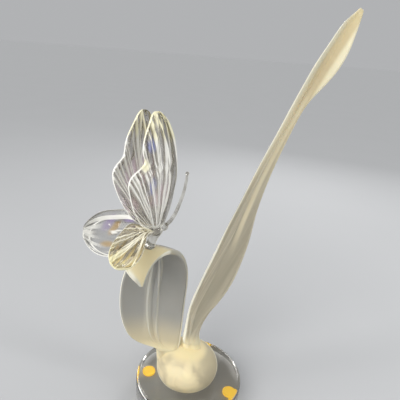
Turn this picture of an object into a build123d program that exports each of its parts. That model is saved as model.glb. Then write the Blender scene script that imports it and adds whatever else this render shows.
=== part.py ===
from build123d import *
import os
from math import asin, cos, degrees, radians, sin, sqrt

# A glass butterfly that perches on the rolled tip of a frosted leaf. The leaf and a tall blade of grass
# stand in a frosted mound on a clear round base. Millimetres, +Z up, +X to the viewer's right, +Y away from
# the viewer. The origin is on the standing plane, under the middle of the base.

# Round base of clear glass, on four bumper pads
base_radius = 45.0
base_thickness = 18.0
rim_radius = 3.5
heel_chamfer = 1.0
pad_radius = 5.5
pad_height = 2.0
pad_chamfer = 0.5
pad_inset = 8.5
pad_count = 4
first_pad_angle = -13.0

# Frosted mound, glued on the base, and the two stumps on it that carry the leaf and the blade
bond_thickness = 0.2
mound_x = -2.0
mound_radius = 26.0
mound_half_height = 20.0
mound_foot_radius = 23.5
leaf_stump_length = 19.0
leaf_stump_inset = 1.1
leaf_stump_root_width = 22.7
leaf_stump_root_depth = 16.0
blade_stump_length = 14.0
blade_stump_root_width = 28.0
blade_stump_root_depth = 20.0

# Curled leaf: where it leaves the mound, how far it rises and how it rolls over towards the viewer
leaf_joint_drop = 4.76
leaf_crown_height = 143.6
leaf_middle_x = -35.0
leaf_width = 54.0
leaf_thickness = 4.4
leaf_cup = 4.5
leaf_lean = 10.5
leaf_roll_depth = 42.0
leaf_roll_drop = 21.0
rib_height = 1.3
rib_half_gap = 3.8
rib_half_width = 1.9

# Blade of grass: a channelled leaf that leans, bends and twists on its way up
blade_joint_rise = 3.24
blade_joint_x = 0.3
blade_joint_y = 1.5
blade_tip_height = 313.5
blade_tip_x = 92.6
blade_tip_y = 12.0
blade_width = 24.5
blade_thickness = 4.6
blade_channel = 4.0
blade_twist = 40.0

# The butterfly's place from the leaf's crown, its heading seen from above, its roll and its nose's pitch
body_right_of_crown = 1.1
body_before_crown = 1.7
body_above_crown = 14.9
body_heading = 43.0
body_roll = 4.0
body_pitch = -2.6
thorax_reach = 2.0
thorax_radius = 4.6
abdomen_length = 19.0
abdomen_radius = 2.4
abdomen_droop = 23.0
head_radius = 3.4
head_reach = 9.7
head_rise = 0.8
antenna_height = 38.5
antenna_root_radius = 1.6
antenna_tip_radius = 1.05
antenna_bead_radius = 1.5
antenna_root_gap = 0.3

# Stem that carries the butterfly on the roll of the leaf
stem_foot_left_of_crown = 2.6
stem_foot_before_crown = 2.2
stem_sink = 1.0
stem_top_reach = 3.6
stem_top_drop = 1.5
stem_radius = 6.0

# Wings: clear glass with a thick smooth rim at the front and ribs that fan out from the root
forewing_length = 82.6
forewing_root_depth = 0.5
forewing_width = 37.0
forewing_thickness = 4.6
near_forewing_bow = 12.5
far_forewing_bow = 7.5
near_forewing_notch = 5.2
far_forewing_notch = 0.6
forewing_camber = 1.6
hindwing_thickness = 4.0
hindwing_camber = 3.0
hindwing_rise = 4.0
# Hindwings: root and tip in the butterfly's own frame, the direction across towards the leading edge, and how
# far the leading and trailing edges lie from the middle line
near_hindwing_root = (0.5, -1.5, 0.0)
near_hindwing_tip = (-39.2, -14.1, -13.9)
near_hindwing_across = (0.42, -0.78, -0.47)
near_hindwing_lead = 8.2
near_hindwing_trail = 16.0
far_hindwing_root = (0.0, 1.5, -0.5)
far_hindwing_tip = (-37.6, 33.0, -4.6)
far_hindwing_across = (0.42, 0.6, 0.68)
far_hindwing_lead = 20.5
far_hindwing_trail = 18.5

base_top = pad_height + base_thickness
mound_bottom = base_top + bond_thickness
mound_sink = mound_half_height * sqrt(1 - (mound_foot_radius / mound_radius) ** 2)
mound_middle_height = mound_bottom + mound_sink
mound_top = mound_middle_height + mound_half_height
leaf_joint_height = mound_top - leaf_joint_drop
blade_joint_height = mound_top + blade_joint_rise


def between(low, high, share):
    return low + (high - low) * share


# Base: a thick disc with a softly rounded rim
with BuildPart() as base_disc:
    with BuildSketch(Plane.XY.offset(pad_height)):
        Circle(base_radius)
    extrude(amount=base_thickness)
    base_edges = base_disc.edges().filter_by(GeomType.CIRCLE).sort_by(Axis.Z)
    fillet(base_edges[-1], rim_radius)
    chamfer(base_edges[0], heel_chamfer)
base_disc.part.label = "base_disc"

# Bumper pads: flat soles on the standing plane, chamfered at the foot, face to face with the base
pads = []
pad_circle_radius = base_radius - pad_inset
for pad in range(pad_count):
    pad_angle = radians(first_pad_angle + pad * 360 / pad_count)
    pad_place = (pad_circle_radius * cos(pad_angle), pad_circle_radius * sin(pad_angle))
    with BuildPart() as rest_pad:
        with BuildSketch(Plane.XY):
            with Locations(pad_place):
                Circle(pad_radius)
        extrude(amount=pad_height)
        chamfer(rest_pad.edges().filter_by(GeomType.CIRCLE).sort_by(Axis.Z)[0], pad_chamfer)
    rest_pad.part.label = f"rest_pad_{pad + 1}"
    pads.append(rest_pad.part)

# Film of glue between the mound and the base
with BuildPart() as bond_disc:
    with BuildSketch(Plane.XY.offset(base_top)):
        with Locations((mound_x, 0)):
            Circle(mound_foot_radius)
    extrude(amount=bond_thickness)
bond_disc.part.label = "bond_disc"


# Outline of the frosted leaf across its length. The front is cupped, with two ribs beside a groove in the
# middle. Local x goes across the leaf, local y to its back.
def leaf_section(plane, left, right, cup, thickness, rib):
    half = thickness / 2
    middle = (left + right) / 2
    reach = (right - left) / 2 - half
    spread = reach / (leaf_width / 2)
    gap = rib_half_gap * spread
    foot = rib_half_width * spread

    def bed(x):
        return -cup * ((x - middle) / reach) ** 2

    def front(x, lift=0):
        return (x, bed(x) - half - lift)

    def back(x):
        return (x, bed(x) + half)

    outer_left = left + half
    outer_right = right - half
    inner_left = middle - gap - foot
    inner_right = middle + gap + foot
    with BuildSketch(plane) as section:
        with BuildLine():
            ThreePointArc(front(outer_left), front((outer_left + inner_left) / 2), front(inner_left))
            Polyline(
                front(inner_left),
                front(middle - gap, rib),
                front(middle),
                front(middle + gap, rib),
                front(inner_right),
            )
            ThreePointArc(front(inner_right), front((inner_right + outer_right) / 2), front(outer_right))
            ThreePointArc(front(outer_right), (right, bed(outer_right)), back(outer_right))
            ThreePointArc(back(outer_right), back(middle), back(outer_left))
            ThreePointArc(back(outer_left), (left, bed(outer_left)), front(outer_left))
        make_face()
    return section.sketch.face()


# Curled leaf. Its middle line rises from the mound, leans away from the viewer and rolls over to the front.
leaf_rise = leaf_crown_height - leaf_joint_height
leaf_line_shares = [(0.0, 0.0), (0.62, 0.22), (1.0, 0.48), (0.8, 0.72), (0.08, 0.91)]
roll_line_shares = [(0.52, 0.0), (0.8, 0.22), (1.0, 1.0)]
leaf_points = [
    (leaf_middle_x, leaf_lean * y, leaf_joint_height + leaf_rise * z) for y, z in leaf_line_shares
]
leaf_points += [
    (leaf_middle_x, leaf_lean - leaf_roll_depth * y, leaf_crown_height - leaf_roll_drop * z)
    for y, z in roll_line_shares
]
crown_y = leaf_points[len(leaf_line_shares)][1]
leaf_line = Spline(leaf_points, tangents=[(0, 0.12, 1), (0, -0.25, -1)])
# Each row: distance along the middle line, left margin and right margin as shares of the half width, and
# cup, thickness and ribs as shares of the largest
leaf_station_shares = [
    (0.0, 0.22, 0.94, 0.1, 2.2, 0.0),
    (0.018, 0.02, 0.945, 0.2, 1.95, 0.2),
    (0.034, -0.3, 0.95, 0.35, 1.7, 0.4),
    (0.06, -0.57, 0.96, 0.55, 1.4, 0.7),
    (0.11, -0.78, 0.97, 0.85, 1.1, 0.95),
    (0.18, -0.92, 0.985, 1.0, 1.0, 1.0),
    (0.27, -0.985, 1.0, 1.0, 1.0, 1.0),
    (0.37, -0.97, 1.03, 1.0, 1.0, 1.0),
    (0.46, -0.89, 1.05, 0.95, 1.0, 1.0),
    (0.53, -0.79, 1.035, 0.9, 1.0, 1.0),
    (0.61, -0.73, 0.97, 0.85, 1.0, 1.0),
    (0.7, -0.72, 0.8, 0.7, 1.0, 0.9),
    (0.79, -0.72, 0.51, 0.55, 1.0, 0.7),
    (0.87, -0.68, 0.18, 0.4, 0.95, 0.5),
    (0.935, -0.55, 0.02, 0.28, 0.9, 0.3),
    (0.975, -0.34, -0.04, 0.15, 0.8, 0.15),
    (1.0, -0.19, -0.08, 0.05, 0.42, 0.0),
]


def leaf_station(row):
    along, left, right, cup, thickness, rib = row
    plane = Plane(leaf_line @ along, x_dir=(1, 0, 0), z_dir=leaf_line % along)
    half_width = leaf_width / 2
    return leaf_section(
        plane,
        left * half_width,
        right * half_width,
        leaf_cup * cup,
        leaf_thickness * thickness,
        rib_height * rib,
    )


with BuildPart() as curled_leaf:
    loft([leaf_station(row) for row in leaf_station_shares])
curled_leaf.part.label = "curled_leaf"


# Outline of the blade across its length: a channel whose crease lies nearer to the left margin, between two
# walls that sag towards it
crease_share = 0.36
wall_sag_share = 0.4


def blade_section(plane, width, channel, thickness):
    half = thickness / 2
    left = -width / 2
    right = width / 2
    inner_left = left + half
    inner_right = right - half
    crease = between(inner_left, inner_right, crease_share)
    with BuildSketch(plane) as section:
        with BuildLine():
            front_left = (inner_left, -channel - half)
            front_crease = (crease, -half)
            front_right = (inner_right, -channel - half)
            back_right = (inner_right, -channel + half)
            back_crease = (crease, half)
            back_left = (inner_left, -channel + half)
            left_bed = between(-half, -channel - half, wall_sag_share)
            ThreePointArc(front_left, ((inner_left + crease) / 2, left_bed), front_crease)
            ThreePointArc(front_crease, ((inner_right + crease) / 2, left_bed), front_right)
            ThreePointArc(front_right, (right, -channel), back_right)
            ThreePointArc(back_right, back_crease, back_left)
            ThreePointArc(back_left, (left, -channel), front_left)
        make_face()
    return section.sketch.face()


# Blade of grass. Each row: the middle line's place across and up between the joint and the tip, then width,
# channel, thickness and twist as shares of the largest.
blade_station_shares = [
    (0.0, 0.0, 0.6, 0.1, 2.3, 0.0),
    (-0.004, 0.042, 0.54, 0.2, 1.9, 0.0),
    (0.013, 0.08, 0.58, 0.4, 1.5, 0.0),
    (0.053, 0.134, 0.74, 0.75, 1.15, 0.05),
    (0.109, 0.181, 0.89, 0.9, 1.05, 0.1),
    (0.173, 0.239, 1.0, 1.0, 1.0, 0.2),
    (0.237, 0.313, 0.99, 1.0, 1.0, 0.35),
    (0.288, 0.379, 0.92, 0.85, 1.0, 0.5),
    (0.344, 0.457, 0.75, 0.65, 1.0, 0.75),
    (0.407, 0.531, 0.65, 0.5, 1.0, 0.95),
    (0.472, 0.599, 0.56, 0.4, 1.0, 1.0),
    (0.533, 0.658, 0.49, 0.4, 1.0, 1.0),
    (0.592, 0.714, 0.44, 0.4, 1.0, 0.95),
    (0.654, 0.768, 0.45, 0.45, 0.97, 0.85),
    (0.717, 0.809, 0.55, 0.5, 0.94, 0.65),
    (0.791, 0.853, 0.66, 0.55, 0.9, 0.4),
    (0.864, 0.901, 0.64, 0.45, 0.85, 0.3),
    (0.909, 0.94, 0.53, 0.35, 0.8, 0.25),
    (0.947, 0.973, 0.38, 0.2, 0.68, 0.2),
    (0.992, 1.0, 0.12, 0.05, 0.4, 0.2),
]


def blade_point(across, up):
    return Vector(
        between(blade_joint_x, blade_tip_x, across),
        between(blade_joint_y, blade_tip_y, up),
        between(blade_joint_height, blade_tip_height, up),
    )


blade_points = [blade_point(across, up) for across, up, *_ in blade_station_shares]
blade_line = Spline(blade_points, tangents=[(0, 0, 1), (0.5, 0.02, 0.85)])


def blade_station(row):
    across, up, width, channel, thickness, twist = row
    along = blade_line.param_at_point(blade_point(across, up))
    tangent = blade_line % along
    level = Plane(blade_line @ along, x_dir=(tangent.Z, 0, -tangent.X), z_dir=tangent)
    plane = level.rotated((0, 0, blade_twist * twist))
    return blade_section(plane, blade_width * width, blade_channel * channel, blade_thickness * thickness)


with BuildPart() as blade_leaf:
    loft([blade_station(row) for row in blade_station_shares])
blade_leaf.part.label = "blade_leaf"

# Mound: part of an ellipse turned about its own axis, with a stump for each leaf. A stump grows out of the
# dome and ends in the outline of the leaf that it carries, so that they meet face to face.
leaf_foot_left, leaf_foot_right, leaf_foot_cup, leaf_foot_depth = leaf_station_shares[0][1:5]
blade_foot_width, blade_foot_channel, blade_foot_depth = blade_station_shares[0][2:5]
# Each row: place between the stump's root and the joint, and how far the stump has closed in on the leaf
stump_shares = [(0.0, 0.0), (0.52, 0.72)]


def leaf_stump_station(up, closing):
    height = leaf_joint_height - leaf_stump_length * (1 - up)
    plane = Plane((leaf_middle_x, 0, height), x_dir=(1, 0, 0), z_dir=(0, 0, 1))
    root_left = mound_x - mound_radius + leaf_stump_inset - leaf_middle_x
    root_right = root_left + leaf_stump_root_width
    left = between(root_left, leaf_foot_left * leaf_width / 2, closing)
    right = between(root_right, leaf_foot_right * leaf_width / 2, closing)
    depth = between(leaf_stump_root_depth, leaf_foot_depth * leaf_thickness, closing)
    return leaf_section(plane, left, right, leaf_foot_cup * leaf_cup, depth, 0)


def blade_stump_station(up, closing):
    height = blade_joint_height - blade_stump_length * (1 - up)
    plane = Plane((blade_joint_x, blade_joint_y, height), x_dir=(1, 0, 0), z_dir=(0, 0, 1))
    width = between(blade_stump_root_width, blade_foot_width * blade_width, closing)
    depth = between(blade_stump_root_depth, blade_foot_depth * blade_thickness, closing)
    return blade_section(plane, width, blade_foot_channel * blade_channel, depth)


with BuildPart() as mound:
    with BuildSketch(Plane.XZ):
        with BuildLine():
            rise_angle = degrees(asin(mound_sink / mound_half_height))
            dome = EllipticalCenterArc(
                (mound_x, mound_middle_height),
                mound_radius,
                mound_half_height,
                start_angle=-rise_angle,
                arc_size=rise_angle + 90,
            )
            Polyline(dome @ 1, (mound_x, mound_bottom), dome @ 0)
        make_face()
    revolve(axis=Axis((mound_x, 0, 0), (0, 0, 1)))
    loft([leaf_stump_station(*row) for row in stump_shares] + [leaf_station(leaf_station_shares[0])])
    loft([blade_stump_station(*row) for row in stump_shares] + [blade_station(blade_station_shares[0])])
    add(curled_leaf.part, mode=Mode.SUBTRACT)
mound.part.label = "mound"

# The butterfly's own frame: local x to its nose, local y to its left, local z over its back
heading = radians(body_heading)
roll = radians(body_roll)
pitch = radians(body_pitch)
nose = Vector(cos(heading) * cos(pitch), sin(heading) * cos(pitch), sin(pitch))
level_left = Vector(-sin(heading), cos(heading), 0)
level_up = nose.cross(level_left)
back = level_up * cos(roll) + level_left * sin(roll)
body_place = (
    leaf_middle_x + body_right_of_crown,
    crown_y - body_before_crown,
    leaf_crown_height + body_above_crown,
)
butterfly = Plane(body_place, x_dir=nose, z_dir=back)


def on_body(x, y, z):
    return butterfly.from_local_coords(Vector(x, y, z))


# Body: a ball for the thorax, and an abdomen turned about the X axis and then drooped. Each row of the
# abdomen: place from the thorax to the tail, and radius as a share of the largest.
abdomen_profile_shares = [
    (0.0, 0.8),
    (0.24, 0.8),
    (0.36, 0.94),
    (0.5, 1.0),
    (0.66, 0.96),
    (0.8, 0.8),
    (0.91, 0.56),
    (0.98, 0.28),
    (1.0, 0.0),
]
thorax_middle = on_body(thorax_reach, 0, 0)
with BuildPart() as abdomen:
    with BuildSketch(Plane.XZ):
        with BuildLine():
            Polyline(
                [(-abdomen_length * x, abdomen_radius * r) for x, r in abdomen_profile_shares] + [(0, 0)],
                close=True,
            )
        make_face()
    revolve(axis=Axis.X)
with BuildPart() as butterfly_body:
    with Locations(thorax_middle):
        Sphere(thorax_radius)
    droop = Plane(thorax_middle, x_dir=nose, z_dir=back).rotated((0, -abdomen_droop, 0))
    add(abdomen.part.moved(droop.location))
butterfly_body.part.label = "butterfly_body"

# Head: a ball fused on the thorax
head_middle = on_body(head_reach, 0, head_rise)
with BuildPart() as butterfly_head:
    with Locations(head_middle):
        Sphere(head_radius)
    add(butterfly_body.part, mode=Mode.SUBTRACT)
butterfly_head.part.label = "butterfly_head"


# Antenna: a rod that thins towards the bead at its tip. Each row gives its line in the body's frame, as
# shares of the antenna's height.
right_antenna_shares = [(0.0, 0.0, 0.0), (0.14, 0.03, 0.13), (0.26, 0.05, 0.36), (0.335, 0.1, 0.66), (0.355, 0.14, 1.0)]
left_antenna_shares = [(0.0, 0.0, 0.0), (0.08, 0.045, 0.17), (0.12, 0.08, 0.43), (0.1, 0.12, 0.72), (0.06, 0.15, 1.0)]


def antenna(shares, side):
    root_y = side * (antenna_root_radius + antenna_root_gap / 2)
    points = [
        on_body(
            head_reach + antenna_height * x,
            root_y + side * antenna_height * y,
            head_rise + head_radius / 3 + antenna_height * z,
        )
        for x, y, z in shares
    ]
    line = Spline(points)
    steps = 2 * (len(points) - 1)
    rings = []
    for step in range(steps + 1):
        along = step / steps
        with BuildSketch(Plane(line @ along, z_dir=line % along)) as ring:
            Circle(between(antenna_root_radius, antenna_tip_radius, along))
        rings.append(ring.sketch.face())
    with BuildPart() as rod:
        loft(rings, ruled=True)
        with Locations(line @ 1):
            Sphere(antenna_bead_radius)
        add(butterfly_head.part, mode=Mode.SUBTRACT)
    return rod.part


antenna_right = antenna(right_antenna_shares, -1)
antenna_right.label = "antenna_right"
antenna_left = antenna(left_antenna_shares, 1)
antenna_left.label = "antenna_left"


# Stem: leans from the roll of the leaf to the thorax, flared where it is fused on the leaf. Each row: place on
# the way up, and radius as a share of the foot's.
stem_station_shares = [(0.0, 1.0), (0.22, 0.74), (0.42, 0.62), (0.62, 0.63), (0.82, 0.7), (1.0, 0.7)]
stem_foot = Vector(
    leaf_middle_x - stem_foot_left_of_crown,
    crown_y - stem_foot_before_crown,
    leaf_crown_height - stem_sink,
)
stem_top = on_body(stem_top_reach, 0, -stem_top_drop)


def stem_station(row):
    up, radius = row
    with BuildSketch(Plane(stem_foot + (stem_top - stem_foot) * up)) as ring:
        Circle(stem_radius * radius)
    return ring.sketch.face()


with BuildPart() as perch_stem:
    loft([stem_station(row) for row in stem_station_shares])
    for neighbour in (curled_leaf, butterfly_body, butterfly_head):
        add(neighbour.part, mode=Mode.SUBTRACT)
perch_stem.part.label = "perch_stem"


# Outline of a wing across its span. One side carries the rim and the ribs, the other is plain. Local x runs
# from the trailing edge to the leading edge; side is -1 where the ribs face local -y, else 1.
# Each row: place from the leading edge and height, as shares of the chord and the half thickness
rib_shares = [
    (0.05, 0.9),
    (0.13, 1.0),
    (0.2, 0.35),
    (0.29, 0.8),
    (0.38, 0.35),
    (0.47, 0.8),
    (0.56, 0.35),
    (0.65, 0.8),
    (0.74, 0.35),
    (0.83, 0.75),
    (0.91, 0.35),
    (0.96, 0.5),
]
plain_share = 0.55


def wing_section(plane, trail, lead, camber, thickness, side):
    chord = lead - trail
    half = thickness / 2

    def bed(share):
        return side * camber * 4 * share * (1 - share)

    ribbed = [(lead - chord * share, bed(share) + side * half * height) for share, height in rib_shares]
    first_share = rib_shares[0][0]
    last_share = rib_shares[-1][0]
    plain_lead = (lead - chord * first_share, bed(first_share) - side * half * plain_share)
    plain_trail = (lead - chord * last_share, bed(last_share) - side * half * plain_share)
    plain_middle = ((lead + trail) / 2, bed(0.5) - side * half * plain_share)
    with BuildSketch(plane) as section:
        with BuildLine():
            Polyline(ribbed)
            ThreePointArc(ribbed[-1], (trail, bed(last_share)), plain_trail)
            ThreePointArc(plain_trail, plain_middle, plain_lead)
            ThreePointArc(plain_lead, (lead, bed(first_share)), ribbed[0])
        make_face()
    return section.sketch.face()


# Forewings: nearly upright, bowed away from each other and drawn together again at the tips, with a notch in
# the trailing edge. Each row: place along the span, leading edge, trailing edge, bow, camber, thickness and
# depth of the notch.
forewing_station_shares = [
    (0.0, 0.1, 0.0, 0.12, 0.1, 0.8, 0.0),
    (0.035, 0.13, -0.16, 0.26, 0.2, 0.9, 0.0),
    (0.075, 0.157, -0.33, 0.37, 0.4, 1.0, 0.0),
    (0.16, 0.2, -0.495, 0.51, 0.8, 1.0, 0.0),
    (0.27, 0.224, -0.638, 0.69, 1.0, 1.0, 0.0),
    (0.385, 0.232, -0.735, 0.85, 1.0, 1.0, 0.0),
    (0.47, 0.235, -0.775, 0.96, 1.0, 1.0, 0.0),
    (0.535, 0.235, -0.76, 0.99, 1.0, 1.0, 0.45),
    (0.583, 0.23, -0.69, 1.0, 1.0, 0.98, 1.0),
    (0.633, 0.222, -0.58, 1.0, 1.0, 0.97, 0.8),
    (0.682, 0.21, -0.54, 0.99, 1.0, 0.96, 0.3),
    (0.744, 0.19, -0.52, 0.975, 1.0, 0.95, 0.1),
    (0.83, 0.148, -0.455, 0.92, 0.8, 0.92, 0.0),
    (0.905, 0.085, -0.375, 0.85, 0.6, 0.88, 0.0),
    (0.96, 0.01, -0.315, 0.79, 0.35, 0.84, 0.0),
    (0.99, -0.055, -0.27, 0.75, 0.2, 0.76, 0.0),
    (1.01, -0.13, -0.21, 0.73, 0.1, 0.6, 0.0),
]


def forewing(bow_reach, notch_depth, side):
    sections = []
    for along, lead, trail, bow, camber, thickness, notch in forewing_station_shares:
        middle = on_body(0, side * bow_reach * bow, forewing_root_depth + forewing_length * along)
        sections.append(
            wing_section(
                Plane(middle, x_dir=nose, z_dir=back),
                forewing_width * trail + notch_depth * notch,
                forewing_width * lead,
                forewing_camber * camber,
                forewing_thickness * thickness,
                side,
            )
        )
    with BuildPart() as wing:
        loft(sections)
        add(butterfly_body.part, mode=Mode.SUBTRACT)
    return wing.part


forewing_right = forewing(near_forewing_bow, near_forewing_notch, -1)
forewing_right.label = "forewing_right"
forewing_left = forewing(far_forewing_bow, far_forewing_notch, 1)
forewing_left.label = "forewing_left"

# Hindwings: cupped petals behind the forewings. They start inside the thorax and pass on both sides of the
# abdomen. Each row: place along the span, leading edge and trailing edge from the middle line, rise from the
# straight line between root and tip, camber and thickness, as shares of the largest.
near_hindwing_shares = [
    (0.0, 0.1, 0.12, 0.0, 0.1, 0.8),
    (0.08, 0.02, 0.26, 0.05, 0.1, 0.8),
    (0.14, -0.06, 0.6, 0.32, 0.2, 0.85),
    (0.22, 0.0, 0.86, 0.68, 0.45, 0.9),
    (0.34, 0.28, 0.95, 0.87, 0.8, 1.0),
    (0.5, 0.72, 0.91, 0.75, 1.0, 1.0),
    (0.66, 0.97, 0.85, 0.55, 0.95, 1.0),
    (0.79, 1.0, 0.75, 0.4, 0.8, 1.0),
    (0.89, 0.84, 0.6, 0.25, 0.5, 0.97),
    (0.96, 0.52, 0.42, 0.1, 0.2, 0.9),
    (1.0, 0.14, 0.2, 0.0, 0.1, 0.6),
]
far_hindwing_shares = [
    (0.0, 0.12, 0.12, 0.0, 0.1, 0.8),
    (0.08, 0.15, 0.15, -0.3, 0.1, 0.8),
    (0.15, 0.42, 0.42, -0.65, 0.3, 0.85),
    (0.24, 0.76, 0.76, -0.95, 0.6, 0.9),
    (0.38, 0.97, 0.97, -1.1, 0.9, 1.0),
    (0.54, 1.0, 1.0, -1.1, 1.0, 1.0),
    (0.7, 0.95, 0.95, -0.9, 0.95, 1.0),
    (0.82, 0.82, 0.82, -0.65, 0.8, 1.0),
    (0.91, 0.61, 0.61, -0.4, 0.5, 0.97),
    (0.97, 0.37, 0.37, -0.15, 0.2, 0.9),
    (1.0, 0.15, 0.15, 0.0, 0.1, 0.6),
]


def hindwing(rows, root, tip, across, lead_width, trail_width, side):
    start = on_body(*root)
    end = on_body(*tip)
    span = (end - start).normalized()
    lean = on_body(*across) - butterfly.origin
    chord = (lean - span * lean.dot(span)).normalized()
    facing = span.cross(chord) * side
    sections = []
    for along, lead, trail, rise, camber, thickness in rows:
        plane = Plane(
            start + (end - start) * along + facing * (hindwing_rise * rise),
            x_dir=chord,
            z_dir=span,
        )
        sections.append(
            wing_section(
                plane,
                -trail_width * trail,
                lead_width * lead,
                -hindwing_camber * camber,
                hindwing_thickness * thickness,
                side,
            )
        )
    with BuildPart() as petal:
        loft(sections)
        add(butterfly_body.part, mode=Mode.SUBTRACT)
    return petal.part


hindwing_right = hindwing(
    near_hindwing_shares,
    near_hindwing_root,
    near_hindwing_tip,
    near_hindwing_across,
    near_hindwing_lead,
    near_hindwing_trail,
    1,
)
hindwing_right.label = "hindwing_right"
hindwing_left = hindwing(
    far_hindwing_shares,
    far_hindwing_root,
    far_hindwing_tip,
    far_hindwing_across,
    far_hindwing_lead,
    far_hindwing_trail,
    -1,
)
hindwing_left.label = "hindwing_left"

os.makedirs("parts", exist_ok=True)
pieces = [
    base_disc.part,
    *pads,
    bond_disc.part,
    mound.part,
    curled_leaf.part,
    blade_leaf.part,
    perch_stem.part,
    butterfly_body.part,
    butterfly_head.part,
    antenna_right,
    antenna_left,
    forewing_right,
    forewing_left,
    hindwing_right,
    hindwing_left,
]
for piece in pieces:
    export_step(piece, f"parts/{piece.label}.step")
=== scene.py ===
from math import cos, radians, sin

import bpy
from mathutils import Matrix, Vector

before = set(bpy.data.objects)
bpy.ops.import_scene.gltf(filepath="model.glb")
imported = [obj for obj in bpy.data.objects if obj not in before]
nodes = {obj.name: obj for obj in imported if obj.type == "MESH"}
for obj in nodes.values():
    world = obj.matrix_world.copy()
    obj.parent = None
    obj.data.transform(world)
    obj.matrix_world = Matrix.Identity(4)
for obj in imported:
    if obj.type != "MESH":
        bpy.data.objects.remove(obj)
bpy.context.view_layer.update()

# The butterfly's own directions, from its heading, roll and pitch
heading, roll, pitch = radians(43), radians(4), radians(-2.6)
nose = Vector((cos(heading) * cos(pitch), sin(heading) * cos(pitch), sin(pitch)))
level_left = Vector((-sin(heading), cos(heading), 0))
back = nose.cross(level_left) * cos(roll) + level_left * sin(roll)
left = back.cross(nose)


def body_direction(x, y, z):
    return (nose * x + left * y + back * z).normalized()


# Camera at the photograph's place, with its tilt and roll
camera_place = Vector((-0.002, -0.274, 0.280))
camera_pitch, camera_roll = radians(20.2), radians(-4.5)
sensor_width, focal_length, nearest = 36, 36, 0.01
ahead = Vector((0, cos(camera_pitch), -sin(camera_pitch)))
above = Vector((0, sin(camera_pitch), cos(camera_pitch)))
side = Vector((1, 0, 0))
camera_right = side * cos(camera_roll) - above * sin(camera_roll)
camera_up = above * cos(camera_roll) + side * sin(camera_roll)
camera_turn = Matrix((camera_right, camera_up, -ahead)).transposed()
camera_data = bpy.data.cameras.new("camera")
camera_data.sensor_width = sensor_width
camera_data.lens = focal_length
camera_data.clip_start = nearest
camera = bpy.data.objects.new("camera", camera_data)
camera.matrix_world = Matrix.Translation(camera_place) @ camera_turn.to_4x4()
bpy.context.scene.collection.objects.link(camera)
bpy.context.scene.camera = camera
bpy.context.scene.view_settings.view_transform = "Standard"


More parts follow.
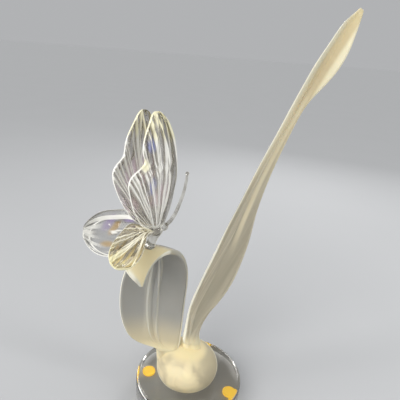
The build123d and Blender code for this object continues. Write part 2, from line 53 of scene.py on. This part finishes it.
class Shader:
    """A node material that ends in one principled shader."""

    def __init__(self, name, **values):
        self.material = bpy.data.materials.new(name)
        self.material.use_nodes = True
        self.tree = self.material.node_tree
        self.surface = self.tree.nodes["Principled BSDF"]
        for socket, value in values.items():
            self.surface.inputs[socket.replace("_", " ")].default_value = value
        self.position = self.node("ShaderNodeNewGeometry").outputs["Position"]

    def node(self, kind, inputs=None, **settings):
        made = self.tree.nodes.new(kind)
        for name, value in settings.items():
            setattr(made, name, value)
        for key, value in (inputs or {}).items():
            if isinstance(value, bpy.types.NodeSocket):
                self.tree.links.new(value, made.inputs[key])
            else:
                made.inputs[key].default_value = value
        return made

    def math(self, operation, first, second=0.0):
        return self.node("ShaderNodeMath", {0: first, 1: second}, operation=operation).outputs[0]

    def plus(self, first, second):
        return self.math("ADD", first, second)

    def minus(self, first, second):
        return self.math("SUBTRACT", first, second)

    def times(self, first, second):
        return self.math("MULTIPLY", first, second)

    def largest(self, first, *others):
        for other in others:
            first = self.math("MAXIMUM", first, other)
        return first

    def squares(self, first, second):
        """The sum of two squares."""
        return self.plus(self.math("POWER", first, 2.0), self.math("POWER", second, 2.0))

    def dot(self, vector, direction):
        made = self.node("ShaderNodeVectorMath", {0: vector, 1: direction}, operation="DOT_PRODUCT")
        return made.outputs["Value"]

    def along(self, direction):
        """How far the surface point lies along a direction, in metres."""
        return self.dot(self.position, direction)

    def beyond(self, direction, point):
        """How far the surface point lies beyond another point along a direction, in metres."""
        return self.minus(self.along(direction), point.dot(direction))

    def facing(self, direction):
        """1 where the surface faces along a direction, -1 where it faces against it."""
        return self.dot(self.node("ShaderNodeNewGeometry").outputs["Normal"], direction)

    def turned_to(self, direction):
        """1 where the surface faces along a direction or against it, 0 where it faces across it."""
        return self.math("ABSOLUTE", self.facing(direction))

    def grazing(self, blend):
        return self.node("ShaderNodeLayerWeight", {"Blend": blend}).outputs["Facing"]

    def ramp(self, value, start, end):
        """0 up to the start and 1 from the end on. The end may be the smaller one."""
        made = self.node("ShaderNodeMapRange", {"Value": value, "From Min": start, "From Max": end})
        made.interpolation_type = "SMOOTHSTEP"
        return made.outputs["Result"]

    def band(self, value, start, full, fade, end):
        """1 from full to fade, and 0 before the start and after the end."""
        return self.times(self.ramp(value, start, full), self.ramp(value, end, fade))

    def spot(self, first, second, place, reach):
        """1 at a place in two coordinates, fading to 0 at the rim of an ellipse around it."""
        shares = []
        for value, middle, radius in zip((first, second), place, reach):
            shares.append(self.math("DIVIDE", self.minus(value, middle), radius))
        return self.ramp(self.squares(*shares), 1.0, 0.0)

    def noise(self, scale, detail=3.0, distortion=0.0, vector=None):
        inputs = {"Vector": vector or self.position, "Scale": scale}
        inputs.update({"Detail": detail, "Distortion": distortion})
        return self.node("ShaderNodeTexNoise", inputs).outputs["Fac"]

    def drawn_noise(self, first, second, detail, distortion):
        """Noise over two coordinates, so that it is drawn out where one of them changes little."""
        vector = self.node("ShaderNodeCombineXYZ", {0: first, 1: second}).outputs[0]
        return self.noise(1.0, detail, distortion, vector)

    def streaks(self, across, lengthwise, fine, coarse, distortion=0.6):
        """Noise drawn out along one direction."""
        first = self.times(self.along(across), fine)
        second = self.times(self.along(lengthwise), coarse)
        return self.drawn_noise(first, second, detail=2.0, distortion=distortion)

    def fan(self, root, across, lengthwise, fine, coarse, distortion=0.5):
        """Noise drawn out along rays from a root. Fine counts the rays to a radian."""
        outward = self.beyond(lengthwise, root)
        angle = self.math("ARCTAN2", self.beyond(across, root), outward)
        first, second = self.times(angle, fine), self.times(outward, coarse)
        return self.drawn_noise(first, second, detail=0.8, distortion=distortion)

    def mix(self, share, first, second):
        made = self.node("ShaderNodeMix", {0: share, 6: first, 7: second}, data_type="RGBA")
        return made.outputs[2]

    def layers(self, colour, *over):
        """A colour with others laid over it in turn, each given as its share and its colour."""
        for share, laid in over:
            colour = self.mix(share, colour, laid)
        return colour

    def feed(self, socket, value):
        self.tree.links.new(value, self.surface.inputs[socket])

    def bump(self, *layers):
        """Each layer: height, strength and depth in metres."""
        last = None
        for height, strength, depth in layers:
            inputs = {"Height": height, "Strength": strength, "Distance": depth}
            if last:
                inputs["Normal"] = last
            last = self.node("ShaderNodeBump", inputs).outputs["Normal"]
        self.feed("Normal", last)


def tint(red, green, blue):
    return (red, green, blue, 1.0)


across_view = (1.0, 0.0, 0.0)
upward = (0.0, 0.0, 1.0)
forward = (0.0, -1.0, 0.0)
frosted_index, base_index, clear_index = 1.45, 1.49, 1.47
# Cream of the joints, and the colour of the painted highlights along frosted margins
joint_cream, pale_margin_highlight = tint(0.88, 0.77, 0.49), tint(1.0, 0.95, 0.79)


def frosted(name, transmission, glow):
    return Shader(
        name,
        Transmission_Weight=transmission,
        IOR=frosted_index,
        Subsurface_Weight=glow,
        Subsurface_Radius=(0.010, 0.008, 0.006),
        Subsurface_Scale=1.0,
    )


def frost(shader, patch_scale, low, high, waviness):
    """Roughness in soft patches, from a ramp over noise, and a wavy, finely grained surface."""
    shader.feed("Roughness", shader.ramp(shader.noise(patch_scale), low, high))
    waves = (shader.noise(45.0, 2.0), waviness, 0.0012)
    grain = (shader.noise(1800.0, 2.0), 0.12, 0.0001)
    shader.bump(waves, grain)


# Frosted leaf: grey, with painted highlights along two ribs and its margins, and cream where it rolls
# over and meets the mound
leaf = frosted("frosted_leaf", transmission=0.22, glow=0.3)
leaf_middle, flap_edge = -0.035, (-0.5, -0.3, -0.81)
leaf_height = leaf.along(upward)
leaf_off = leaf.minus(leaf.along(across_view), leaf_middle)
leaf_grey = leaf.mix(leaf.noise(26.0), tint(0.30, 0.30, 0.28), tint(0.40, 0.39, 0.355))
leaf_cream = leaf.mix(leaf.noise(40.0), tint(0.76, 0.64, 0.39), tint(0.90, 0.79, 0.52))
# Painted highlights along the two ribs
rib_highlight_strength = 0.7
left_rib_highlight = leaf.times(leaf.band(leaf_off, -0.0075, -0.0045, -0.002, 0.0005), rib_highlight_strength)
right_rib_highlight = leaf.times(leaf.band(leaf_off, 0.0038, 0.0046, 0.0052, 0.0060), rib_highlight_strength)
leaf_foot = leaf.ramp(leaf_height, 0.076, 0.050)
leaf_joint = leaf.ramp(leaf_height, 0.054, 0.0455)
leaf_rolled = leaf.ramp(leaf.along(forward), 0.006, 0.015)
# Painted highlight along the margins, darker at the arch, and under the rolled flap's edge
leaf_outer = leaf.ramp(leaf.math("ABSOLUTE", leaf_off), 0.006, 0.010)
leaf_arch = leaf.times(leaf.ramp(leaf_height, 0.108, 0.126), leaf.ramp(leaf_rolled, 0.97, 0.6))
leaf_rim_highlight = leaf.mix(leaf_arch, pale_margin_highlight, tint(0.50, 0.48, 0.40))
leaf_edge_highlight = leaf.mix(leaf_outer, tint(0.62, 0.61, 0.53), leaf_rim_highlight)
flap_under_highlight = leaf.times(leaf_rolled, leaf.ramp(leaf.facing(flap_edge), -0.1, 0.3))
leaf_margin_highlight = leaf.largest(leaf.ramp(leaf.turned_to(across_view), 0.45, 0.75), flap_under_highlight)
leaf_colour = leaf.layers(
    leaf_grey,
    (left_rib_highlight, tint(0.52, 0.51, 0.45)),
    (right_rib_highlight, tint(0.66, 0.65, 0.58)),
    (leaf_foot, tint(0.60, 0.53, 0.36)),
    (leaf_joint, joint_cream),
    (leaf_rolled, leaf_cream),
    (leaf_margin_highlight, leaf_edge_highlight),
)
leaf.feed("Base Color", leaf_colour)
frost(leaf, patch_scale=120.0, low=-0.8, high=1.6, waviness=0.2)

# Frosted blade: beige, with painted light on its left wall and painted shade on its right, warmer towards
# the tip, with painted highlights along its margins
blade = frosted("frosted_blade", transmission=0.15, glow=0.3)
blade_across = Vector((0.86, 0.28, -0.42)).normalized()
# Place across the blade, from a parabola close to its middle line above the mound
line_height, line_place, line_slope, line_bend = 0.173, 0.032, 0.29, 0.9
blade_height = blade.along(upward)
blade_up = blade.minus(blade_height, line_height)
blade_slope = blade.plus(line_slope, blade.times(line_bend, blade_up))
blade_line = blade.plus(line_place, blade.times(blade_up, blade_slope))
blade_off = blade.minus(blade.along(across_view), blade_line)
# Painted light on the left wall and painted shade on the right
blade_wall_light_and_shade = blade.mix(
    blade.ramp(blade.facing(blade_across), -0.35, 0.35),
    tint(0.355, 0.325, 0.245),
    tint(0.66, 0.61, 0.48),
)
blade_streaks = blade.ramp(blade.streaks(blade_across, upward, fine=230.0, coarse=8.0), 0.35, 0.7)
blade_warm = blade.ramp(blade_height, 0.17, 0.30)
blade_joint = blade.ramp(blade_height, 0.064, 0.050)
# Upper part: olive painted shade to the left and pale painted light to the right of a painted highlight
# along the crease, with a thinner margin
upper_start, upper_full, margin_thinning, crease_highlight_strength = 0.13, 0.17, 0.2, 0.7
blade_upper = blade.ramp(blade_height, upper_start, upper_full)
blade_high = blade.ramp(blade_height, 0.19, 0.235)
blade_olive_shade = blade.times(blade.ramp(blade_off, -0.0005, -0.0045), blade_high)
blade_pale_light = blade.times(blade.ramp(blade_off, 0.0042, 0.0078), blade_high)
blade_crease_highlight = blade.times(
    blade.band(blade_off, -0.0005, 0.0015, 0.0032, 0.0052),
    blade.band(blade_height, upper_start, upper_full, 0.245, 0.272),
)
# Painted highlight along the margins
blade_turned = blade.minus(blade.turned_to(blade_across), blade.times(blade_upper, margin_thinning))
blade_margin_highlight = blade.ramp(blade_turned, 0.62, 0.88)
blade_colour = blade.layers(
    blade_wall_light_and_shade,
    (blade_streaks, tint(0.46, 0.42, 0.32)),
    (blade_warm, tint(0.72, 0.61, 0.38)),
    (blade_olive_shade, tint(0.50, 0.475, 0.36)),
    (blade_pale_light, tint(0.94, 0.85, 0.61)),
    (blade.times(blade_crease_highlight, crease_highlight_strength), tint(0.90, 0.81, 0.58)),
    (blade_joint, joint_cream),
    (blade_margin_highlight, pale_margin_highlight),
)
blade.feed("Base Color", blade_colour)
frost(blade, patch_scale=110.0, low=-0.7, high=1.7, waviness=0.25)

# Mound: creamy, uneven inside, with painted shade to the right, a painted highlight spot, a cream top and
# a painted highlight along its outline
mound = frosted("frosted_mound", transmission=0.12, glow=0.4)
mound_cloud = mound.ramp(mound.noise(52.0, 2.0, 0.8), 0.34, 0.66)
mound_across, mound_height = mound.along(across_view), mound.along(upward)
shade_strength, highlight_spot_strength = 0.6, 0.7
# Painted shade to the right
mound_painted_shade = mound.times(mound.ramp(mound_across, 0.002, 0.014), shade_strength)
# Painted highlight spot
mound_highlight_spot = mound.spot(mound_across, mound_height, place=(-0.001, 0.0405), reach=(0.005, 0.006))
mound_top = mound.ramp(mound_height, 0.0435, 0.0465)
# Painted highlight along the glancing outline
mound_outline_highlight = mound.ramp(mound.grazing(0.5), 0.7, 0.95)
mound_colour = mound.layers(
    mound.mix(mound_cloud, tint(0.58, 0.50, 0.33), tint(0.84, 0.73, 0.47)),
    (mound_painted_shade, tint(0.44, 0.385, 0.26)),
    (mound.times(mound_highlight_spot, highlight_spot_strength), tint(0.97, 0.84, 0.54)),
    (mound_top, tint(0.90, 0.77, 0.46)),
    (mound_outline_highlight, tint(0.97, 0.91, 0.70)),
)
mound.feed("Base Color", mound_colour)
frost(mound, patch_scale=90.0, low=-0.9, high=1.6, waviness=0.3)

# Base: clear glass, a little darker to the right, with a painted highlight along its glancing outline
base = Shader("clear_base", Transmission_Weight=1.0, Roughness=0.02, IOR=base_index)
base_right = base.ramp(base.along(across_view), -0.04, 0.04)
base_outline_highlight = base.ramp(base.grazing(0.3), 0.55, 0.95)
base_colour = base.layers(
    tint(1.0, 0.985, 0.93),
    (base_right, tint(0.85, 0.82, 0.75)),
    (base_outline_highlight, tint(1.0, 0.99, 0.97)),
)
base.feed("Base Color", base_colour)
base.bump((base.noise(24.0, 1.0), 0.12, 0.0012))

face_transmission, edge_thickness, relief = 0.97, 0.85, 0.25


def clear(glass, deep, pale, highlight_colour, streaks, lines=None, front=None):
    """Clear glass: its faces carry a light tint in streaks, and its edges and lines turn pale and dense
    as painted highlights.
    Front is the way its faces look."""
    faces = glass.mix(glass.ramp(streaks, 0.40, 0.60), deep, pale)
    # Painted highlights: glancing edges, faces turned from the front and the given lines turn pale and
    # dense
    dense_highlights = glass.ramp(glass.grazing(0.45), 0.42, 0.66)
    if front:
        dense_highlights = glass.largest(dense_highlights, glass.ramp(glass.turned_to(front), 0.72, 0.5))
    if lines:
        dense_highlights = glass.largest(dense_highlights, lines)
    glass.feed("Base Color", glass.mix(dense_highlights, faces, highlight_colour))
    glass.feed("Transmission Weight", glass.minus(face_transmission, glass.times(dense_highlights, edge_thickness)))
    glass.bump((streaks, relief, 0.0006), (glass.noise(160.0, 2.0), relief / 4, 0.0004))


# Stem, body, head and antennas
stem = Shader("clear_glass", Roughness=0.03, IOR=clear_index)
clear(
    stem,
    deep=tint(0.48, 0.455, 0.41),
    pale=tint(0.86, 0.84, 0.78),
    highlight_colour=tint(1.0, 0.98, 0.92),
    streaks=stem.streaks(nose, upward, fine=300.0, coarse=60.0),
)

# Forewings: flutes fan out from the root and are painted pale as highlights, and pink tinges some of them
wing = Shader("ribbed_wing", Roughness=0.05, IOR=clear_index)
wing_root, root_above = Vector((-0.0335, -0.0125, 0.155)), 0.0035
wing_fan = wing.fan(wing_root, nose, back, fine=30.0, coarse=14.0, distortion=0.3)
wing_pink = wing.ramp(wing.noise(31.0, 1.0, 0.5), 0.54, 0.66)
wing_up = wing.plus(wing.beyond(back, wing_root), root_above)
wing_forward = wing.beyond(nose, wing_root)
# Smooth rim along the forewing's leading edge, which is close to a parabola about the widest place, with
# painted highlight lines at its inner border and along the leading edge
wing_lead, wing_widest, wing_bend, rim_width, rim_fade = 0.0087, 0.036, 0.272, 0.0066, 0.0006
wing_curve = wing.math("DIVIDE", wing.math("POWER", wing.minus(wing_up, wing_widest), 2.0), wing_bend)
rim_depth = wing.minus(wing.minus(wing_lead, wing_curve), wing_forward)
rim = wing.ramp(rim_depth, rim_width, rim_width - rim_fade)
rim_inner_highlight = wing.band(
    rim_depth, rim_width - 0.0004, rim_width, rim_width + 0.0008, rim_width + 0.0014
)
rim_outer_highlight = wing.ramp(rim_depth, 0.0014, 0.0008)
wing_flute_highlights = wing.times(
    wing.ramp(wing_fan, 0.53, 0.60), wing.ramp(rim_depth, rim_width - rim_fade, rim_width)
)
# The near wing alone: two painted blue reflections, and a painted golden highlight at the hook of its
# trailing edge
near_fade = 0.003
wing_near = wing.ramp(wing.beyond(left, wing_root), 0.0, -near_fade)


def near_spot(place, reach):
    return wing.times(wing.spot(wing_up, wing_forward, place, reach), wing_near)


wing_hook_highlight = near_spot(place=(0.0575, -0.0185), reach=(0.006, 0.0045))
wing_blue = wing.largest(
    near_spot(place=(0.043, -0.0124), reach=(0.008, 0.0035)),
    near_spot(place=(0.070, -0.0134), reach=(0.006, 0.004)),
)
# Painted golden highlight at that hook and at both wings' tips
wing_tip_highlight = wing.ramp(wing_up, 0.070, 0.077)
wing_gold_highlight = wing.largest(wing_tip_highlight, wing_hook_highlight)
clear(
    wing,
    deep=wing.layers(
        tint(0.56, 0.53, 0.49),
        (wing_pink, tint(0.74, 0.60, 0.62)),
        (wing_blue, tint(0.36, 0.42, 0.95)),
        (rim, tint(0.50, 0.48, 0.45)),
    ),
    pale=wing.layers(
        tint(0.94, 0.91, 0.85),
        (wing_pink, tint(0.96, 0.86, 0.89)),
        (rim, tint(0.56, 0.54, 0.51)),
    ),
    highlight_colour=wing.mix(wing_gold_highlight, tint(1.0, 0.985, 0.92), tint(1.0, 0.95, 0.68)),
    streaks=wing_fan,
    lines=wing.largest(wing_flute_highlights, rim_inner_highlight, rim_outer_highlight, wing_hook_highlight),
    front=left,
)

# Near hindwing: a ribbed petal, golden at its far end, with its flutes painted pale as highlights
petal = Shader("ribbed_petal", Roughness=0.07, IOR=clear_index)
hind_root = Vector((-0.0339, -0.0130, 0.1585))
petal_along = body_direction(-0.89, -0.28, -0.31)
petal_across = body_direction(0.42, -0.78, -0.47)
petal_far = petal.ramp(petal.beyond(petal_along, hind_root), 0.024, 0.040)
petal_fan = petal.fan(hind_root, petal_across, petal_along, fine=14.0, coarse=20.0)
clear(
    petal,
    deep=tint(0.70, 0.63, 0.48),
    pale=petal.mix(petal_far, tint(0.93, 0.86, 0.68), tint(0.96, 0.86, 0.55)),
    highlight_colour=petal.mix(petal_far, tint(1.0, 0.96, 0.80), tint(1.0, 0.94, 0.62)),
    streaks=petal_fan,
    lines=petal.ramp(petal_fan, 0.56, 0.62),
    front=petal_along.cross(petal_across),
)

# Far hindwing: a smooth bowl with a painted highlight line inside its rim, a few painted glints and
# painted highlights where it is seen edge-on
bowl = Shader("bowl_wing", Roughness=0.02, IOR=clear_index)
bowl_along = body_direction(-0.76, 0.63, -0.13)
bowl_across = body_direction(0.42, 0.6, 0.68)
bowl_out, bowl_length, bowl_width = 0.0266, 0.0235, 0.0195
bowl_middle = hind_root + bowl_along * bowl_out
bowl_reach = bowl.math("DIVIDE", bowl.beyond(bowl_along, bowl_middle), bowl_length)
bowl_side = bowl.math("DIVIDE", bowl.beyond(bowl_across, bowl_middle), bowl_width)
bowl_ring = bowl.math("SQRT", bowl.squares(bowl_reach, bowl_side))
bowl_rim_highlight = bowl.band(bowl_ring, 0.79, 0.82, 0.84, 0.87)
bowl_streaks = bowl.streaks(bowl_across, bowl_along, fine=110.0, coarse=34.0)
bowl_glint = bowl.times(bowl.ramp(bowl_streaks, 0.66, 0.70), bowl.ramp(bowl_ring, 0.78, 0.60))
bowl_front = bowl_along.cross(bowl_across)
bowl_edge_highlight = bowl.ramp(bowl.turned_to(bowl_front), 0.93, 0.8)
# Amber and violet reflections, side by side along a leaning stripe
stripe_sin, stripe_cos = 0.5, 0.87
bowl_lean = bowl.minus(bowl.times(bowl_side, stripe_cos), bowl.times(bowl_reach, stripe_sin))
bowl_cross = bowl.plus(bowl.times(bowl_reach, stripe_cos), bowl.times(bowl_side, stripe_sin))
amber_spots = bowl.largest(
    bowl.spot(bowl_lean, bowl_cross, place=(0.30, 0.30), reach=(0.46, 0.14)),
    bowl.spot(bowl_reach, bowl_side, place=(0.31, -0.30), reach=(0.28, 0.18)),
)
amber_streaks = bowl.streaks(bowl_across, bowl_along, fine=150.0, coarse=45.0, distortion=0.3)
bowl_amber = bowl.times(amber_spots, bowl.ramp(amber_streaks, 0.30, 0.46))
bowl_violet = bowl.largest(
    bowl.spot(bowl_lean, bowl_cross, place=(0.36, 0.54), reach=(0.50, 0.18)),
    bowl.spot(bowl_reach, bowl_side, place=(-0.42, 0.70), reach=(0.32, 0.18)),
)
clear(
    bowl,
    deep=bowl.layers(
        tint(0.46, 0.44, 0.41),
        (bowl_violet, tint(0.42, 0.34, 0.56)),
        (bowl_amber, tint(0.64, 0.41, 0.15)),
    ),
    pale=bowl.layers(
        tint(0.74, 0.73, 0.71),
        (bowl_violet, tint(0.66, 0.57, 0.74)),
        (bowl_amber, tint(0.86, 0.64, 0.38)),
    ),
    highlight_colour=tint(1.0, 0.99, 0.94),
    streaks=bowl_streaks,
    lines=bowl.largest(bowl_rim_highlight, bowl_glint, bowl_edge_highlight),
    front=bowl_front,
)

# Glue film, and yellow pads that glow a little with painted light
glue = Shader("glue_film", Transmission_Weight=0.6, Roughness=0.2, IOR=frosted_index)
glue.feed("Base Color", glue.mix(glue.noise(60.0), tint(0.72, 0.68, 0.56), tint(0.85, 0.82, 0.72)))
pad = Shader("yellow_pad", Roughness=0.35, Emission_Color=tint(1.0, 0.60, 0.03), Emission_Strength=0.6)
pad.feed("Base Color", pad.mix(pad.noise(220.0), tint(1.0, 0.66, 0.03), tint(1.0, 0.74, 0.06)))
pad.bump((pad.noise(900.0, 2.0), 0.15, 0.0002))

pads = [name for name in nodes if name.startswith("rest_pad")]
looks = {
    "base_disc": base,
    "bond_disc": glue,
    "mound": mound,
    "curled_leaf": leaf,
    "blade_leaf": blade,
    "perch_stem": stem,
    "butterfly_body": stem,
    "butterfly_head": stem,
    "antenna_right": stem,
    "antenna_left": stem,
    "forewing_right": wing,
    "forewing_left": wing,
    "hindwing_right": petal,
    "hindwing_left": bowl,
}
looks.update({name: pad for name in pads})
for name, look in looks.items():
    nodes[name].data.materials.clear()
    nodes[name].data.materials.append(look.material)

# A hair's gap where glass meets its neighbour face to face, so that each surface shows
hair_gap = 0.00003
for name in ["bond_disc", "perch_stem", "butterfly_body", "antenna_right", "antenna_left"] + pads:
    shrink = nodes[name].modifiers.new("hair_gap", "DISPLACE")
    shrink.mid_level = 0
    shrink.strength = -hair_gap

# Pale floor with the object's shadow
floor_reach = 40.0
floor_mesh = bpy.data.meshes.new("floor")
corners = [(x * floor_reach, y * floor_reach, 0) for x, y in ((-1, -1), (1, -1), (1, 1), (-1, 1))]
floor_mesh.from_pydata(corners, [], [(0, 1, 2, 3)])
floor = bpy.data.objects.new("floor", floor_mesh)
bpy.context.scene.collection.objects.link(floor)
ground = Shader("floor", Roughness=0.9, Specular_IOR_Level=0.15)
ground.feed("Base Color", ground.mix(ground.noise(6.0), tint(0.515, 0.52, 0.53), tint(0.535, 0.54, 0.55)))
floor_mesh.materials.append(ground.material)

# Pale surroundings, seen directly and in the glass, over a plain soft light
shown_colour, shown_strength = tint(0.44, 0.447, 0.457), 1.0
soft_colour, soft_strength = tint(0.96, 0.98, 1.0), 0.55
world = bpy.data.worlds.new("world")
bpy.context.scene.world = world
world.use_nodes = True
tree = world.node_tree
shown = tree.nodes["Background"]
shown.inputs["Color"].default_value = shown_colour
shown.inputs["Strength"].default_value = shown_strength
soft = tree.nodes.new("ShaderNodeBackground")
soft.inputs["Color"].default_value = soft_colour
soft.inputs["Strength"].default_value = soft_strength
path = tree.nodes.new("ShaderNodeLightPath")
seen = path.outputs["Is Camera Ray"]
for ray in ("Is Glossy Ray", "Is Transmission Ray"):
    either = tree.nodes.new("ShaderNodeMath")
    either.operation = "MAXIMUM"
    tree.links.new(seen, either.inputs[0])
    tree.links.new(path.outputs[ray], either.inputs[1])
    seen = either.outputs[0]
choice = tree.nodes.new("ShaderNodeMixShader")
tree.links.new(seen, choice.inputs[0])
tree.links.new(soft.outputs[0], choice.inputs[1])
tree.links.new(shown.outputs[0], choice.inputs[2])
tree.links.new(choice.outputs[0], tree.nodes["World Output"].inputs["Surface"])

# Lamps, aimed at the object's middle
object_middle = Vector((0, 0, 0.14))


def aimed(name, data, place):
    lamp = bpy.data.objects.new(name, data)
    lamp.location = place
    lamp.rotation_mode = "QUATERNION"
    lamp.rotation_quaternion = (object_middle - Vector(place)).to_track_quat("-Z", "Y")
    bpy.context.scene.collection.objects.link(lamp)


def softbox(name, place, width, height, power):
    data = bpy.data.lights.new(name, "AREA")
    data.shape = "RECTANGLE"
    data.size = width
    data.size_y = height
    data.energy = power
    aimed(name, data, place)


daylight = bpy.data.lights.new("daylight", "SUN")
daylight.energy = 1.7
daylight.angle = radians(40)
daylight.color = (1.0, 0.985, 0.95)
aimed("daylight", daylight, (-0.55, -0.85, 0.75))
softbox("strip_left", (-0.75, -0.25, 0.55), width=0.12, height=0.7, power=2.2)
softbox("strip_right", (0.7, -0.2, 0.45), width=0.1, height=0.6, power=1.5)
softbox("rim", (0.3, 0.75, 0.5), width=0.5, height=0.2, power=1.5)
